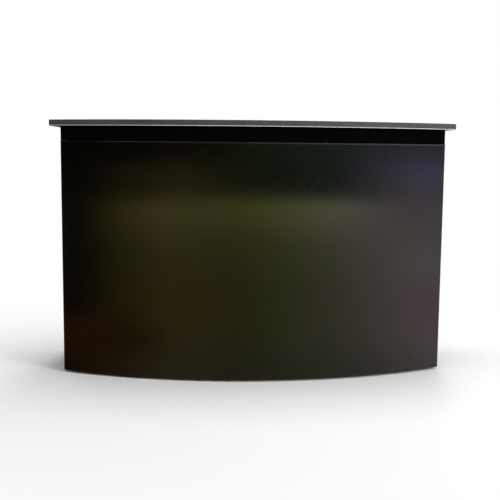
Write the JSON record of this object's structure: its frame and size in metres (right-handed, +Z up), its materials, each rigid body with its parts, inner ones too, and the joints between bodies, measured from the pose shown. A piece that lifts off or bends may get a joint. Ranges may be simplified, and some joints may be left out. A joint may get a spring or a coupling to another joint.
{
  "type": "curved bar counter",
  "caption": "Free-standing black bar counter with a bowed laminate front under an overhanging bar top, open storage bays behind and screw-adjusted levelling feet.",
  "frame": {"origin": "on the floor, under the centre of the bar top's bounding box", "axes": "+Z up, +X to the right seen from the customers' side, -Y towards the customers"},
  "size_m": [1.77, 0.64, 1.1],
  "materials": {
    "front_laminate": "semi-gloss black laminate",
    "end_laminate": "fine-textured black laminate",
    "top_laminate": "fine-textured black laminate",
    "backing_sheet": "plain dark backing sheet",
    "edge_trim": "satin dark grey moulded edge",
    "fascia_black": "dead-matt black painted ply",
    "cap_metal": "satin, dark anodised",
    "core_board": "raw chipboard",
    "bendy_ply": "raw bending plywood",
    "birch_ply": "clear-lacquered birch plywood",
    "cleat_wood": "planed softwood",
    "black_edging": "satin black edging strip",
    "zinc_steel": "bright zinc plate",
    "black_nylon": "moulded black nylon"
  },
  "bodies": {
    "carcase": {"top_core": "core_board", "top_laminate": "top_laminate", "top_backing": "backing_sheet", "top_edge_trim": "edge_trim", "front_panel_ply": "bendy_ply", "front_laminate": "front_laminate", "panel_cap": "cap_metal", "fascia_rail": "fascia_black", "end_panel_left": "birch_ply", "end_panel_right": "birch_ply", "end_laminate_left": "end_laminate", "end_laminate_right": "end_laminate", "deck": "birch_ply", "shelf": "birch_ply", "top_former": "birch_ply", "fascia_former": "birch_ply", "divider_lower": "birch_ply", "divider_upper": "birch_ply", "back_rail": "birch_ply", "back_plinth": "birch_ply", "deck_cleats": "cleat_wood", "shelf_cleats": "cleat_wood", "end_panel_edging": "black_edging", "deck_edging": "black_edging", "shelf_edging": "black_edging", "divider_edging": "black_edging", "top_brackets": "zinc_steel", "bracket_screws": "zinc_steel", "cleat_screws": "zinc_steel", "former_screws": "zinc_steel", "foot_blocks": "cleat_wood", "foot_nuts": "zinc_steel", "access_caps": "black_nylon"},
    "pad_front_left": {"foot_pad_front_left": "black_nylon"},
    "stem_front_left": {"foot_stem_front_left": "zinc_steel"},
    "pad_side_left": {"foot_pad_side_left": "black_nylon"},
    "stem_side_left": {"foot_stem_side_left": "zinc_steel"},
    "pad_back_left": {"foot_pad_back_left": "black_nylon"},
    "stem_back_left": {"foot_stem_back_left": "zinc_steel"},
    "pad_front_right": {"foot_pad_front_right": "black_nylon"},
    "stem_front_right": {"foot_stem_front_right": "zinc_steel"},
    "pad_side_right": {"foot_pad_side_right": "black_nylon"},
    "stem_side_right": {"foot_stem_side_right": "zinc_steel"},
    "pad_back_right": {"foot_pad_back_right": "black_nylon"},
    "stem_back_right": {"foot_stem_back_right": "zinc_steel"}
  },
  "joints": [
    {"name": "level_front_left", "type": "slide", "parent": "carcase", "child": "pad_front_left", "axis": [0, 0, -1], "range_m": [0, 0.02]},
    {"name": "screw_front_left", "type": "hinge", "parent": "pad_front_left", "child": "stem_front_left", "pos_m": [-0.25, -0.21343, 0.0091], "axis": [0, 0, -1], "range_deg": [0, 4800]},
    {"name": "level_side_left", "type": "slide", "parent": "carcase", "child": "pad_side_left", "axis": [0, 0, -1], "range_m": [0, 0.02]},
    {"name": "screw_side_left", "type": "hinge", "parent": "pad_side_left", "child": "stem_side_left", "pos_m": [-0.746, -0.06469, 0.0091], "axis": [0, 0, -1], "range_deg": [0, 4800]},
    {"name": "level_back_left", "type": "slide", "parent": "carcase", "child": "pad_back_left", "axis": [0, 0, -1], "range_m": [0, 0.02]},
    {"name": "screw_back_left", "type": "hinge", "parent": "pad_back_left", "child": "stem_back_left", "pos_m": [-0.746, 0.182, 0.0091], "axis": [0, 0, -1], "range_deg": [0, 4800]},
    {"name": "level_front_right", "type": "slide", "parent": "carcase", "child": "pad_front_right", "axis": [0, 0, -1], "range_m": [0, 0.02]},
    {"name": "screw_front_right", "type": "hinge", "parent": "pad_front_right", "child": "stem_front_right", "pos_m": [0.25, -0.21343, 0.0091], "axis": [0, 0, -1], "range_deg": [0, 4800]},
    {"name": "level_side_right", "type": "slide", "parent": "carcase", "child": "pad_side_right", "axis": [0, 0, -1], "range_m": [0, 0.02]},
    {"name": "screw_side_right", "type": "hinge", "parent": "pad_side_right", "child": "stem_side_right", "pos_m": [0.746, -0.06469, 0.0091], "axis": [0, 0, -1], "range_deg": [0, 4800]},
    {"name": "level_back_right", "type": "slide", "parent": "carcase", "child": "pad_back_right", "axis": [0, 0, -1], "range_m": [0, 0.02]},
    {"name": "screw_back_right", "type": "hinge", "parent": "pad_back_right", "child": "stem_back_right", "pos_m": [0.746, 0.182, 0.0091], "axis": [0, 0, -1], "range_deg": [0, 4800]}
  ],
  "couplings": [
    {"joint": "screw_front_left", "follows": "level_front_left", "rad_per_m": 4188.8},
    {"joint": "screw_side_left", "follows": "level_side_left", "rad_per_m": 4188.8},
    {"joint": "screw_back_left", "follows": "level_back_left", "rad_per_m": 4188.8},
    {"joint": "screw_front_right", "follows": "level_front_right", "rad_per_m": 4188.8},
    {"joint": "screw_side_right", "follows": "level_side_right", "rad_per_m": 4188.8},
    {"joint": "screw_back_right", "follows": "level_back_right", "rad_per_m": 4188.8}
  ]
}
